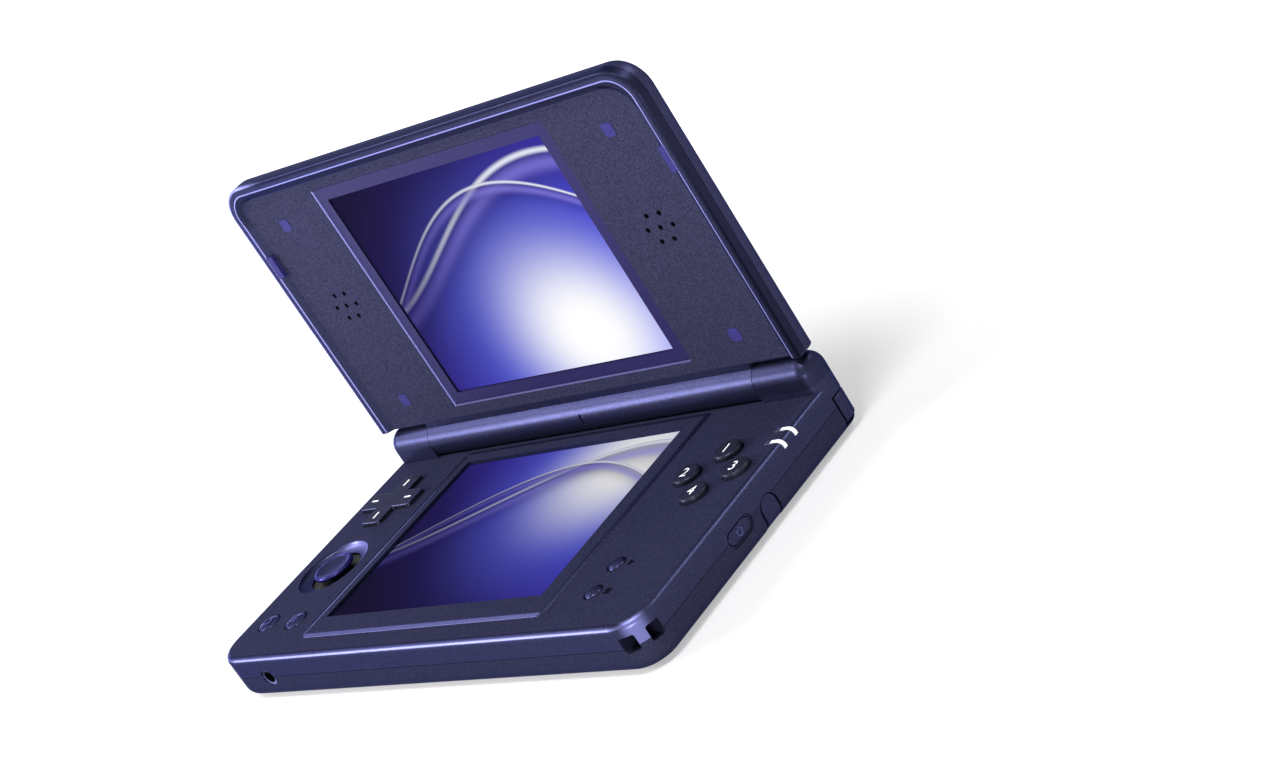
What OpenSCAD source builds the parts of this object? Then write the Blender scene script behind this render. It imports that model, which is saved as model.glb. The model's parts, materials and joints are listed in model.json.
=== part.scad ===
// Clamshell handheld game console: a base with controls and a touch screen, and a lid with a
// second screen that swings on two friction hinges. Millimetres, +Z up, +X to the player's right,
// origin at the centre of the base's underside. The lid is drawn open at a right angle.

/* [Body] */
// Width of the base and of the lid
body_w = 161; // [160.6:0.2:161.4]
// Depth of the base from front to rear
body_d = 93.4; // [93.2:0.1:93.6]
// Height of the base's top face
base_h = 13.3; // [13.2:0.1:13.4]
// Height of the parting line between the base's two shells
split_z = 7.2; // [7.1:0.1:7.3]
// Wall thickness of the base's shells
wall = 1.6; // [1.5:0.05:1.6]
// Corner radius of the base at the front and of the lid at its far edge
corner_r = 9; // [8.5:0.25:9.5]
// Corner radius of the base at the rear and of the knuckles' outer ends
rear_r = 4; // [4:0.1:4.2]
// Rounding of the base's lower edge
base_lower_round = 3.5; // [3.2:0.1:3.5]
// Rounding of the base's upper edge
base_upper_round = 1.7; // [1.6:0.1:1.7]

/* [Hinge] */
// Radius of the lid's barrel and of the base's knuckles
barrel_r = 5; // [4.9:0.05:5]
// Height of the hinge axis above the base's top face
axis_lift = 4; // [4:0.05:4.1]
// Length of each knuckle
knuckle_len = 18; // [17.5:0.5:18]
// Radius of the hinge pins
pin_r = 2; // [1.8:0.1:2.2]
// Radial clearance of the pins in the knuckles
pin_gap = 0.05; // [0.03:0.01:0.08]

/* [Lid] */
// Reach of the lid from the hinge axis to its far edge
lid_reach = 88.3; // [88:0.1:88.4]
// Thickness of the lid
lid_t = 7.7; // [7.6:0.1:7.8]
// Gap between the closed lid's rim and the base's top face
lid_gap = 0.2; // [0.15:0.05:0.3]
// Depth of the inner panel behind the rim
lid_recess = 1.5; // [1.4:0.1:1.5]
// Rounding of the lid's outer edge
lid_round = 3.5; // [3.2:0.1:3.5]
// Width of the upper display's picture
upper_w = 83.9; // [83:0.1:84]
// Height of the upper display's picture
upper_h = 63.5; // [63:0.1:64]

/* [Touch screen] */
// Width of the touch screen's window
lower_w = 83.7; // [83:0.1:84]
// Depth of the touch screen's window
lower_d = 63.8; // [63:0.1:64]
// Height of the raised surround above the base's top face
plateau_h = 0.4; // [0.3:0.1:0.4]

/* [Controls] */
// Radius of the four face buttons
face_r = 3.85; // [3.6:0.05:3.9]
// Distance of each face button from the middle of its diamond
face_spread = 8; // [7.8:0.1:8.2]
// Length of the direction pad across both arms
dpad_span = 20.8; // [20:0.2:21]
// Width of the direction pad's arms
dpad_arm = 7.2; // [7:0.1:7.4]
// Radius of the slide pad's cap
pad_r = 5.9; // [5.6:0.1:6.1]
// Radius of the bowl round the slide pad, at the top face
bowl_r = 10.9; // [10.7:0.1:11]
// Running gap round each button in its hole
button_gap = 0.2; // [0.15:0.05:0.25]

/* [Stylus] */
// Diameter of the stylus shaft
stylus_d = 4.9; // [4.6:0.1:4.9]
// Length of the stylus
stylus_len = 96.3; // [94:0.1:97]

/* [Hidden] */
$fn = 64;
eps = 0.01;

// Case
half_w = body_w / 2;
half_d = body_d / 2;
plate_z = base_h - wall;
floor_t = 1.5;
edge_t = rear_r;
seam_t = 0.16;
seam_d = 0.3;

// Hinge
axis_y = half_d - barrel_r;
axis_z = base_h + axis_lift;
joint_x = half_w - knuckle_len;
end_gap = 0.2;
trough_r = barrel_r + 0.4;
barrel_bore = 3.6;
pin_len = 11;

// Lid, drawn closed with the hinge axis at the origin: rim down, outer face up
rim_z = -(axis_lift - lid_gap);
outer_z = rim_z + lid_t;
panel_z = rim_z + lid_recess;
panel_t = 1.4;
panel_back = panel_z + panel_t;
lid_split = rim_z + 2.6;
lid_wall = 1.6;
cover_t = 1.3;
lid_end = -6.1;
screen_v = 45.45;
lens_w = 91.2;
lens_h = 70.8;
lens_v = 45.5;
lens_t = 0.8;
lens_sink = 0.2;

// Touch screen
window_x = -2.95;
window_y = -0.3;
plateau_x0 = -48.8;
plateau_x1 = 45;
plateau_y0 = -39.8;
plateau_y1 = 36.6;
roll_w = 1.2;
cover_z = base_h - 0.6;
air_gap = 0.05;

// Board stack inside the base
board_z = 8.5;
board_t = 1;
mat_z = board_z + board_t;
mat_t = 0.35;
key_z = 10.6;
flange_t = 0.8;

// Places of the controls
face_pos = [64.5, 9.4];
dpad_pos = [-65, 17.9];
pad_pos = [-65, -9.5];
start_pos = [56.7, -22.6];
select_pos = [56.7, -32.5];
menu_pos = [[-70.6, -32], [-58.7, -32]];
face_top = base_h + 1.4;
dpad_z = 10.3;
dpad_top = base_h + 1.1;
pad_top = base_h + 0.4;
cap_z = 12.2;
bowl_run = 3.2;
start_top = base_h + 0.75;
menu_top = base_h + 0.65;
start_r = 2.3;
menu_r = 3.2;
pivot_z = 11.05;
pivot_r = 1.5;

// Sides
jack_pos = [-61.5, 6.7];
jack_r = 1.8;
port_x = -50;
port_z = board_z - 1.6;
power_y = -6.3;
power_z = 7;
volume_y = -5.25;
volume_z = 7.2;
rock_x = 76.9;
rock_r = 0.9;
silo_y = 5.2;
silo_z = 5.1;
silo_r = stylus_d / 2 + 0.1;
silo_wall_r = 3.3;
notch_depth = 11;
notch_w = 7.2;
screw_x = 71.8;
screw_y = [-38.4, 33.5];
lanyard_x = [73.3, 77];
lanyard_y = [-42.7, -39.3];
lanyard_z = [5.9, 10.1];
lanyard_r = 0.6;
shoulder_z = [2.2, 9.4];
shoulder_pivot = [59.6, 43.4];
shoulder_x0 = 58;
pipe_y = [19.2, 24.1];

// Stylus, from its outer end to its tip
stylus_x1 = half_w - 0.1;
head_x0 = stylus_x1 - 10.7;
tip_x0 = stylus_x1 - stylus_len;
tip_len = 4.2;
tip_r = 2.3;

// ---------------------------------------------------------------- shared shapes

// Plan of a case: rectangle from y0 to y1 with corner radius r0 at y0 and r1 at y1
module plan(hw, y0, y1, r0, r1) {
    translate([-hw, y0 + r0]) square([2 * hw, y1 - y0 - r0 - r1]);
    if (r0 > 0) translate([-hw + r0, y0]) square([2 * (hw - r0), r0 + eps]);
    if (r1 > 0) translate([-hw + r1, y1 - r1 - eps]) square([2 * (hw - r1), r1 + eps]);
    for (s = [-1, 1]) {
        if (r0 > 0) translate([s * (hw - r0), y0 + r0]) circle(r0);
        if (r1 > 0) translate([s * (hw - r1), y1 - r1]) circle(r1);
    }
}

// A section drawn with x = 0 at the outer edge, run straight along -Y
module strip(len) rotate([90, 0, 0]) linear_extrude(len) children();

// The same section run round a case plan; r1 = 0 leaves the y1 side open
module sweep_edge(hw, y0, y1, r0, r1) {
    for (s = [0, 1]) mirror([s, 0, 0]) {
        translate([hw, y1 - r1, 0]) strip(y1 - y0 - r0 - r1) children();
        translate([hw - r0, y0 + r0, 0]) rotate([0, 0, -90])
            rotate_extrude(angle = 90) translate([r0, 0]) children();
        if (r1 > 0) translate([hw - r1, y1 - r1, 0])
            rotate_extrude(angle = 90) translate([r1, 0]) children();
    }
    translate([-hw + r0, y0, 0]) rotate([0, 0, -90]) translate([0, 2 * (hw - r0), 0])
        strip(2 * (hw - r0)) children();
    if (r1 > 0) translate([hw - r1, y1, 0]) rotate([0, 0, 90]) translate([0, 2 * (hw - r1), 0])
        strip(2 * (hw - r1)) children();
}

// Edge section t deep from z0 to z1, its outer corners rounded rb below and rt above
module section(t, z0, z1, rb, rt) {
    translate([-t, z0 + rb]) square([t, z1 - z0 - rb - rt]);
    if (rb > 0) {
        translate([-t, z0]) square([t - rb, rb + eps]);
        translate([-rb, z0 + rb]) mirror([0, 1]) quarter_disc(rb);
    }
    if (rt > 0) {
        translate([-t, z1 - rt - eps]) square([t - rt, rt + eps]);
        translate([-rt, z1 - rt]) quarter_disc(rt);
    }
}

module quarter_disc(r) intersection() {
    circle(r);
    square(r);
}

module block(x0, x1, y0, y1, z0, z1) translate([x0, y0, z0]) cube([x1 - x0, y1 - y0, z1 - z0]);

module rod_x(x0, x1, y, z, r) translate([x0, y, z]) rotate([0, 90, 0]) cylinder(r = r, h = x1 - x0);

module rounded_rect(w, d, r) {
    square([w - 2 * r, d], center = true);
    square([w, d - 2 * r], center = true);
    for (x = [-1, 1], y = [-1, 1]) translate([x * (w / 2 - r), y * (d / 2 - r)]) circle(r);
}

// Stadium-shaped bar along X, drawn in the plane that faces +X, length along Y
module side_stadium(x0, x1, y, z, len, high) {
    span = len - high;
    rod_x(x0, x1, y - span / 2, z, high / 2);
    rod_x(x0, x1, y + span / 2, z, high / 2);
    block(x0, x1, y - span / 2, y + span / 2, z - high / 2, z + high / 2);
}

module both_sides() {
    children();
    mirror([1, 0, 0]) children();
}

// ---------------------------------------------------------------- openings in both base shells

module jack_hole() translate([jack_pos[0], -half_d - 1, jack_pos[1]])
    rotate([-90, 0, 0]) cylinder(r = 2.5, h = wall + 1.2);

module charge_hole() translate([port_x, half_d + 1, port_z]) rotate([90, 0, 0]) {
    for (s = [-1, 1]) translate([s * 2.9, 0, 0]) cylinder(r = 1.8, h = wall + 1.2);
    translate([-2.9, -1.8, 0]) cube([5.8, 3.6, wall + 1.2]);
}

module notch_cut() {
    arch_z = silo_z - 0.6;
    block(half_w - notch_depth, half_w + 1, silo_y - notch_w / 2, silo_y + notch_w / 2, -1, arch_z);
    rod_x(half_w - notch_depth, half_w + 1, silo_y, arch_z, notch_w / 2);
    rod_x(half_w - notch_depth - 2, half_w, silo_y, silo_z, silo_r + 0.05);
}

module notch_block(z0, z1) block(half_w - notch_depth - 1.2, half_w - wall + 0.1,
    silo_y - notch_w / 2 - 1.2, silo_y + notch_w / 2 + 1.2, z0, z1);

module lanyard_cut() {
    mid_x = (lanyard_x[0] + lanyard_x[1]) / 2;
    mid_y = (lanyard_y[0] + lanyard_y[1]) / 2;
    mid_z = (lanyard_z[0] + lanyard_z[1]) / 2;
    high = lanyard_z[1] - lanyard_z[0];
    translate([lanyard_x[0], mid_y, mid_z]) rotate([90, 0, 90])
        linear_extrude(half_w + 1 - lanyard_x[0])
            rounded_rect(lanyard_y[1] - lanyard_y[0], high, lanyard_r);
    translate([mid_x, lanyard_y[1], mid_z]) rotate([90, 0, 0])
        linear_extrude(half_d + 1 + lanyard_y[1])
            rounded_rect(lanyard_x[1] - lanyard_x[0], high, lanyard_r);
}

module lanyard_block(z0, z1) translate([0, 0, z0]) linear_extrude(z1 - z0) intersection() {
    translate([lanyard_x[0] - 1.2, -half_d]) square([10, lanyard_y[1] + 1.2 + half_d]);
    translate([half_w - corner_r, -half_d + corner_r]) circle(corner_r - wall + 0.2);
}

module power_cut() {
    side_stadium(half_w - 0.5, half_w + 1, power_y, power_z, 10.4, 4.9);
    side_stadium(half_w - wall - 1, half_w, power_y, power_z, 8.9, 3.7);
}

module volume_cut() mirror([1, 0, 0]) {
    side_stadium(half_w - wall - 1, half_w + 1, volume_y, volume_z, 20.7, 5);
}

module shoulder_cut() both_sides()
    block(shoulder_x0 - 0.7, half_w + 1, 39.6, half_d + 1, 1.5, 9.9);

module case_cuts() {
    jack_hole();
    charge_hole();
    notch_cut();
    lanyard_cut();
    power_cut();
    volume_cut();
    shoulder_cut();
}

// ---------------------------------------------------------------- base shells

module knuckle() {
    tip_x = half_w - rear_r;
    // rounded cap, coaxial with the hinge
    translate([tip_x, axis_y, axis_z]) rotate([0, 90, 0]) rotate_extrude() {
        square([barrel_r - rear_r, rear_r]);
        translate([barrel_r - rear_r, 0]) quarter_disc(rear_r);
    }
    rod_x(joint_x, tip_x, axis_y, axis_z, barrel_r);
    // foot that stands on the shell, with the same end rounding
    translate([0, 0, 9.9]) linear_extrude(axis_z - 9.9) {
        translate([joint_x, axis_y - barrel_r]) square([tip_x - joint_x, 2 * barrel_r]);
        translate([tip_x - eps, axis_y - barrel_r + rear_r])
            square([rear_r + eps, 2 * (barrel_r - rear_r)]);
        for (s = [-1, 1]) translate([tip_x, axis_y + s * (barrel_r - rear_r)]) circle(rear_r);
    }
}

module dpad_outline(grow) for (a = [0, 90]) rotate(a)
    rounded_rect(dpad_span + 2 * grow, dpad_arm + 2 * grow, 1 + grow);

module control_holes() {
    for (a = [0 : 90 : 270])
        translate([face_pos[0] + face_spread * cos(a), face_pos[1] + face_spread * sin(a), 10])
            cylinder(r = face_r + button_gap, h = 5);
    for (p = [start_pos, select_pos])
        translate([p[0], p[1], 10]) cylinder(r = start_r + button_gap, h = 5);
    for (p = menu_pos) translate([p[0], p[1], 10]) cylinder(r = menu_r + button_gap, h = 5);
    translate([dpad_pos[0], dpad_pos[1], 10]) linear_extrude(5) dpad_outline(0.35);
    // dished bowl round the slide pad, near level at its foot and steep at its lip
    translate([pad_pos[0], pad_pos[1], plate_z]) rotate_extrude() polygon(concat(
        [[0, -eps], [bowl_r - bowl_run, -eps]],
        [for (t = [0 : 11.25 : 90]) [bowl_r - bowl_run + bowl_run * sin(t), wall * (1 - cos(t))]],
        [[bowl_r, wall + 1], [0, wall + 1]]));
}

// Outline of a light pipe in the X-Z plane: follows the shell's upper edge
module pipe_outline() intersection() {
    difference() {
        translate([half_w, 0]) section(edge_t + 2, split_z, base_h, 0, base_upper_round);
        translate([half_w - 1.2, 0]) section(edge_t + 2, split_z - 1, base_h - 1.2, 0, 0.5);
    }
    translate([75, 11.2]) square([10, 5]);
}

module pipe_bars(y_grow) for (y = pipe_y)
    translate([0, y + 0.9 + y_grow, 0]) strip(1.8 + 2 * y_grow) pipe_outline();

module base_top_shell() color([0.22, 0.21, 0.42]) difference() {
    union() {
        sweep_edge(half_w, -half_d, half_d, corner_r, rear_r) difference() {
            section(edge_t, split_z, base_h, 0, base_upper_round);
            translate([-edge_t - 1, split_z - 1]) square([edge_t + 1 - wall, plate_z - split_z + 1]);
        }
        translate([0, 0, plate_z]) linear_extrude(wall)
            plan(half_w - edge_t + 0.5, -half_d + edge_t - 0.5, half_d - edge_t + 0.5,
                 corner_r - edge_t + 0.5, 0);
        // raised surround of the touch screen, rolled off round its edge
        translate([(plateau_x0 + plateau_x1) / 2, 0, 0]) {
            hw = (plateau_x1 - plateau_x0) / 2;
            sweep_edge(hw, plateau_y0, plateau_y1, 2, roll_w + 0.2) polygon(concat(
                [[-roll_w - 0.1, plate_z], [0, plate_z]],
                [for (t = [0 : 15 : 90])
                    [-roll_w * (1 - cos(t)), base_h - 0.02 + (plateau_h + 0.02) * sin(t)]],
                [[-roll_w - 0.1, base_h + plateau_h]]));
            translate([0, 0, plate_z]) linear_extrude(wall + plateau_h)
                plan(hw - roll_w, plateau_y0 + roll_w, plateau_y1 - roll_w, 2 - roll_w, 0.2);
        }
        both_sides() knuckle();
        // floor under the barrel's trough
        block(-joint_x - 1, joint_x + 1, 36.5, half_d - 1, 10.3, plate_z + 0.1);
        notch_block(split_z, 9.2);
        lanyard_block(split_z, plate_z + 0.1);
        for (s = [-1, 1], y = screw_y)
            translate([s * screw_x, y, split_z]) cylinder(r = 2.6, h = plate_z - split_z + 0.1);
    }
    translate([window_x - lower_w / 2, window_y - lower_d / 2, 5]) cube([lower_w, lower_d, 15]);
    rod_x(-joint_x, joint_x, axis_y, axis_z, trough_r);
    both_sides() rod_x(joint_x - 1, joint_x + pin_len + 1, axis_y, axis_z, pin_r + pin_gap);
    control_holes();
    pipe_bars(0.05);
    case_cuts();
    for (s = [-1, 1], y = screw_y)
        translate([s * screw_x, y, split_z - 1]) cylinder(r = 0.95, h = 4);
    // groove along the left of the surround
    block(-49.55, -48.85, -35.3, 35.3, base_h - 0.4, base_h + 1);
}

module base_bottom_shell() color([0.2, 0.19, 0.38]) difference() {
    union() {
        sweep_edge(half_w, -half_d, half_d, corner_r, rear_r) difference() {
            section(edge_t, 0, split_z, base_lower_round, 0);
            translate([-wall, 0])
                section(edge_t - wall, floor_t, split_z + 1, base_lower_round - wall, 0);
            translate([-seam_d, split_z - seam_t]) square([1, 1]);
        }
        linear_extrude(floor_t)
            plan(half_w - edge_t + 0.4, -half_d + edge_t - 0.4, half_d - edge_t + 0.4,
                 corner_r - edge_t + 0.4, 0);
        notch_block(1, split_z);
        lanyard_block(1, split_z);
        for (s = [-1, 1], y = screw_y)
            translate([s * screw_x, y, 1]) cylinder(r = 3, h = split_z - 1);
        // cradles that hold the stylus silo
        for (x = [-12, 14, 40]) block(x, x + 3, silo_y - 4.4, silo_y + 4.4, 1, silo_z - 1);
        // seat of the volume rocker's rib
        block(-rock_x, 1.6 - rock_x, volume_y - 1.6, volume_y + 1.6, 1, volume_z + 1);
        // posts on which the shoulder buttons turn
        both_sides() translate([shoulder_pivot[0], shoulder_pivot[1], 1]) cylinder(r = 1, h = 8.6);
    }
    difference() {
        case_cuts();
        both_sides() translate([shoulder_pivot[0], shoulder_pivot[1], 1]) cylinder(r = 1, h = 8.6);
    }
    rod_x(-20, half_w - notch_depth - 1.2, silo_y, silo_z, silo_wall_r + 0.02);
    for (s = [-1, 1], y = screw_y) translate([s * screw_x, y, -1]) {
        cylinder(r = 2.2, h = 3.2);
        cylinder(r = 1, h = 10);
    }
    translate([-rock_x, volume_y, volume_z - 1.7]) cylinder(r = rock_r + 0.05, h = 5);
    // seam of the rear strip
    block(-76, 76, 39.8, 40.2, -1, 0.3);
}

// ---------------------------------------------------------------- inside the base

module touch_panel() color([0.5, 0.55, 0.75])
    block(window_x - lower_w / 2 + 0.1, window_x + lower_w / 2 - 0.1,
          window_y - lower_d / 2 + 0.1, window_y + lower_d / 2 - 0.1,
          cover_z, base_h + plateau_h - 0.2);

module lower_display_panel() color([0.12, 0.12, 0.3]) {
    block(window_x - lower_w / 2 + 0.1, window_x + lower_w / 2 - 0.1,
          window_y - lower_d / 2 + 0.1, window_y + lower_d / 2 - 0.1,
          plate_z - 0.1, cover_z - air_gap);
    block(window_x - lower_w / 2 - 2.5, window_x + lower_w / 2 + 2.5,
          window_y - lower_d / 2 - 2.5, window_y + lower_d / 2 + 2.5, mat_z, plate_z);
}

module board_outline() difference() {
    union() {
        translate([-77, -44]) square([154, 82]);
        for (s = [-1, 1]) translate([s * 71 - 5, 36]) square([10, 6]);
        translate([port_x - 6, 37]) square([12, 7]);
    }
    translate([half_w - notch_depth - 1.6, silo_y - 5.4]) square([20, 10.8]);
    translate([71.9, -50]) square([20, 12]);
    translate([-80, -50]) square([8, 12]);
    translate([jack_pos[0] - 5.3, -50]) square([10.6, 19.2]);
    translate([-73.4, -21.5]) square([19.6, 25]);
    translate([75.4, -12.5]) square([5, 12.5]);
    for (s = [-1, 1], y = screw_y) translate([s * screw_x, y]) circle(3);
}

module main_board() color([0.1, 0.35, 0.2])
    translate([0, 0, board_z]) linear_extrude(board_t) board_outline();

module battery() color([0.75, 0.75, 0.78])
    translate([3, -20, floor_t]) linear_extrude(6.4) rounded_rect(66, 34, 2);

module mat(x0, x1, y0, y1, dots, dot_r) color([0.35, 0.35, 0.38]) {
    block(x0, x1, y0, y1, mat_z, mat_z + mat_t - 0.1);
    for (p = dots) translate([p[0], p[1], mat_z]) cylinder(r = dot_r, h = mat_t);
}

module face_button_mat() mat(52, 75.3, -3, 21.8,
    [for (a = [0 : 90 : 270])
        [face_pos[0] + face_spread * cos(a), face_pos[1] + face_spread * sin(a)]], 2.6);

module start_select_mat() mat(52.5, 61, -36.8, -18.4, [start_pos, select_pos], 1.8);

module menu_button_mat() mat(-75.4, -54.4, -35.6, -28, menu_pos, 2.2);

module direction_pad_mat() color([0.35, 0.35, 0.38]) difference() {
    union() {
        translate([dpad_pos[0], dpad_pos[1], mat_z]) linear_extrude(mat_t - 0.1)
            rounded_rect(22, 22, 4);
        for (a = [0 : 90 : 270])
            translate([dpad_pos[0] + 7.4 * cos(a), dpad_pos[1] + 7.4 * sin(a), mat_z])
                cylinder(r = 2, h = mat_t);
    }
    translate([dpad_pos[0], dpad_pos[1], mat_z - 1]) cylinder(r = 2.4, h = 3);
}

module slide_pad_housing() color([0.15, 0.15, 0.17]) difference() {
    block(pad_pos[0] - 8, pad_pos[0] + 8, pad_pos[1] - 11, pad_pos[1] + 11, floor_t, 8.9);
    block(pad_pos[0] - 7.2, pad_pos[0] + 7.2, pad_pos[1] - 1.1, pad_pos[1] + 1.1, 7.9, 10);
}

module headphone_jack() color([0.12, 0.12, 0.13]) difference() {
    union() {
        translate([jack_pos[0], -half_d + 0.4, jack_pos[1]])
            rotate([-90, 0, 0]) cylinder(r = 2.45, h = 2);
        block(jack_pos[0] - 4, jack_pos[0] + 4, -half_d + wall, -half_d + 15.2,
              jack_pos[1] - 2.6, jack_pos[1] + 2.6);
    }
    translate([jack_pos[0], -half_d - 1, jack_pos[1]])
        rotate([-90, 0, 0]) cylinder(r = jack_r, h = 15);
}

module port_stadium(r, h) rotate([90, 0, 0]) linear_extrude(h)
    for (s = [-1, 1]) {
        translate([s * 2.9, 0]) circle(r);
        translate([-2.9, -r]) square([5.8, 2 * r]);
    }

module charge_port() color([0.7, 0.7, 0.72]) {
    difference() {
        translate([port_x, half_d - 0.4, port_z]) port_stadium(1.6, 6.6);
        translate([port_x, half_d + 1, port_z]) port_stadium(1.25, 6.4);
    }
    block(port_x - 2.6, port_x + 2.6, half_d - 6, half_d - 1.2, port_z - 0.35, port_z + 0.35);
}

module stylus_silo() color([0.16, 0.16, 0.2]) difference() {
    rod_x(-18, half_w - notch_depth - 1.2, silo_y, silo_z, silo_wall_r);
    rod_x(-16.6, half_w, silo_y, silo_z, silo_r);
}

module light_pipes() color([0.95, 0.95, 0.97]) pipe_bars(0);

module status_leds() color([0.9, 0.9, 0.6]) for (y = pipe_y)
    block(75.5, 76.9, y - 0.6, y + 0.6, mat_z, mat_z + 0.7);

module case_screws() color([0.3, 0.3, 0.32]) for (s = [-1, 1], y = screw_y)
    translate([s * screw_x, y, 1.1]) difference() {
        union() {
            cylinder(r = 1.9, h = 1.1);
            cylinder(r = 0.9, h = 8.4);
        }
        for (a = [0, 90]) rotate(a) translate([-1.3, -0.25, -1]) cube([2.6, 0.5, 1.5]);
    }

module tact_switch(w, d, h, reach) {
    translate([-w / 2, 0, -h]) cube([w, d, h]);
    translate([0, d - eps, -h / 2]) rotate([-90, 0, 0]) cylinder(r = 0.8, h = reach);
}

module shoulder_switches() color([0.2, 0.2, 0.22]) both_sides()
    translate([72, 39.9, board_z]) tact_switch(4, 2, 3, 0.6);

module power_switch() color([0.2, 0.2, 0.22])
    translate([72.9, power_y, board_z]) rotate([0, 0, -90]) tact_switch(5, 2.4, 3, 1.4);

module volume_switches() color([0.2, 0.2, 0.22]) for (y = [-7.4, 7.4])
    translate([-73.6, volume_y + y, board_z]) rotate([0, 0, 90]) tact_switch(4, 2.4, 3, 0.8);

// ---------------------------------------------------------------- lid

// From the closed, axis-centred drawing to the open lid at rest
module lid_place() translate([0, axis_y, axis_z]) rotate([-90, 0, 0]) children();

// Recess inside the rim: floor at the inner panel, sides sloping out to the rim
module rim_recess() {
    slope = 2.2;
    run = slope / lid_recess;
    hw = half_w - 4.6;
    y0 = -lid_reach + 5;
    r = 7;
    sweep_edge(hw, y0, 6, r, 0) polygon([
        [-r, panel_z], [0, panel_z], [run * (lid_recess + 1), rim_z - 1], [-r, rim_z - 1]]);
    translate([0, 0, rim_z - 1]) linear_extrude(lid_recess + 1) plan(hw - r + eps, y0 + r, 6, 0, 0);
}

module lid_screw_spots() for (x = [-63.9, 63.9], v = [14.7, 73.7]) translate([x, -v, 0]) children();

module speaker_holes() {
    pitch = 4.25;
    for (side = [-1, 1]) translate([side * 61.46, -46.6, panel_z - 1]) {
        cylinder(r = 0.6, h = panel_t + 2);
        for (a = [0 : 60 : 300])
            translate([pitch * cos(a), pitch * sin(a), 0]) cylinder(r = 0.6, h = panel_t + 2);
    }
}

module rimmed_panel() difference() {
    union() {
        sweep_edge(half_w, -lid_reach, lid_end, corner_r, 0) {
            section(edge_t, rim_z, lid_split, 0.5, 0);
            translate([-edge_t, rim_z]) square([edge_t - lid_wall - 0.05, panel_back - rim_z]);
        }
        translate([0, 0, rim_z]) linear_extrude(panel_back - rim_z)
            plan(half_w - edge_t + 0.4, -lid_reach + edge_t - 0.4, lid_end,
                 corner_r - edge_t + 0.4, 0);
    }
    rim_recess();
}

module lid_front_frame() color([0.2, 0.2, 0.38]) lid_place() difference() {
    union() {
        rimmed_panel();
        block(-joint_x + end_gap, joint_x - end_gap, lid_end - 1, -1, panel_z, panel_back);
        rod_x(-joint_x + end_gap, joint_x - end_gap, 0, 0, barrel_r);
    }
    rod_x(-joint_x, joint_x, 0, 0, barrel_bore);
    // pocket for the lens and window for the picture
    translate([0, -lens_v, panel_z - 1]) linear_extrude(1 + lens_sink + lens_t)
        rounded_rect(lens_w, lens_h, 1);
    block(-upper_w / 2 - 1, upper_w / 2 + 1, -screen_v - upper_h / 2 - 1,
          -screen_v + upper_h / 2 + 1, panel_z, panel_back + 1);
    speaker_holes();
    latch_pad(0.1);
    lid_screw_spots() {
        translate([0, 0, panel_z - 1]) linear_extrude(1.8) rounded_rect(3.6, 3.8, 1);
        translate([0, 0, panel_z]) cylinder(r = 1.6, h = 5);
    }
    // microphone slot
    block(-0.35, 0.35, -1.8, 1.2, -barrel_r - 1, -3);
}

module lid_rear_cover() color([0.24, 0.23, 0.42]) lid_place() {
    difference() {
        union() {
            sweep_edge(half_w, -lid_reach, lid_end, corner_r, 0) difference() {
                section(edge_t + 1, lid_split, outer_z, 0, lid_round);
                translate([-lid_wall, 0])
                    section(edge_t, lid_split - 1, outer_z - cover_t, 0, lid_round - lid_wall);
                translate([-seam_d, lid_split - 1]) square([1, 1 + seam_t]);
            }
            translate([0, 0, outer_z - cover_t]) linear_extrude(cover_t)
                plan(half_w - edge_t - 0.6, -lid_reach + edge_t + 0.6, lid_end,
                     corner_r - edge_t - 0.6, 0);
            // apron down to the barrel, with slanting ends
            translate([0, 0, outer_z - cover_t]) linear_extrude(cover_t) polygon([
                [-joint_x + 0.6, lid_end - eps], [joint_x - 0.6, lid_end - eps],
                [joint_x - 4, -1], [-joint_x + 4, -1]]);
            // end walls beside the knuckles
            both_sides() translate([half_w, lid_end, 0]) strip(1.2) {
                section(knuckle_len, panel_back, outer_z, 0, lid_round);
                translate([-lid_wall, lid_split]) square([lid_wall, 2]);
            }
            lid_screw_spots() translate([0, 0, panel_back])
                cylinder(r = 2.2, h = outer_z - cover_t - panel_back + 0.1);
        }
        rod_x(-joint_x, joint_x, 0, 0, barrel_r + 0.02);
        lid_screw_spots() translate([0, 0, panel_back - 1]) cylinder(r = 0.8, h = 4);
    }
}

module upper_screen_lens() color([0.3, 0.28, 0.55]) lid_place()
    translate([0, -lens_v, panel_z + lens_sink]) linear_extrude(lens_t)
        rounded_rect(lens_w - 0.3, lens_h - 0.3, 0.85);

module upper_display_panel() color([0.12, 0.12, 0.3]) lid_place() {
    front = panel_z + lens_sink + lens_t + air_gap;
    block(-upper_w / 2 - 0.9, upper_w / 2 + 0.9, -screen_v - upper_h / 2 - 0.9,
          -screen_v + upper_h / 2 + 0.9, front, panel_back + 0.1);
    block(-upper_w / 2 - 3, upper_w / 2 + 3, -screen_v - upper_h / 2 - 3,
          -screen_v + upper_h / 2 + 3, panel_back, outer_z - cover_t - 0.1);
}

module speaker() lid_place() translate([61.46, -46.6, panel_back]) {
    linear_extrude(2.4) difference() {
        rounded_rect(13, 17, 3);
        rounded_rect(10.6, 14.6, 2.5);
    }
    translate([0, 0, 0.8]) linear_extrude(1.6) rounded_rect(10.8, 14.8, 2.5);
}

module speaker_right() color([0.15, 0.15, 0.16]) speaker();
module speaker_left() color([0.15, 0.15, 0.16]) mirror([1, 0, 0]) speaker();

module lid_screw_pads() color([0.32, 0.3, 0.6]) lid_place()
    lid_screw_spots() translate([0, 0, panel_z - 0.1]) linear_extrude(0.9) rounded_rect(3.5, 3.7, 0.95);

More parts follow.
